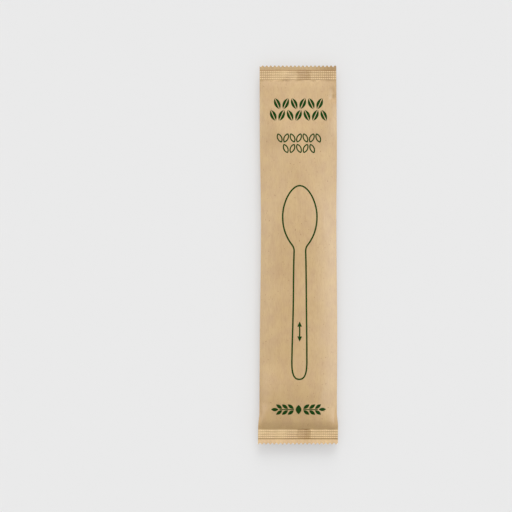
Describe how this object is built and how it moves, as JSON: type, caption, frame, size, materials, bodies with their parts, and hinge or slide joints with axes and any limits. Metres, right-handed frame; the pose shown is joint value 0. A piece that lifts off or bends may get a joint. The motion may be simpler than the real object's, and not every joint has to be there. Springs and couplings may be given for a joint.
{
  "type": "wrapped wooden spoon",
  "caption": "Wooden spoon sealed in a slim kraft paper flow pack, with crimped zigzag ends, a fin folded flat along the back and a green outline of the spoon printed on the front.",
  "frame": {"origin": "centre of the pack's outline, on the surface that it lies on", "axes": "+Y along the pack towards the spoon's bowl, +X to the right seen from the front, which is the side that the back fin is folded to, +Z out of the printed front"},
  "size_m": [0.04, 0.19, 0.0082],
  "materials": {
    "kraft_paper": "matte"
  },
  "bodies": {
    "root": {"wrapped_spoon": "kraft_paper"}
  },
  "joints": []
}
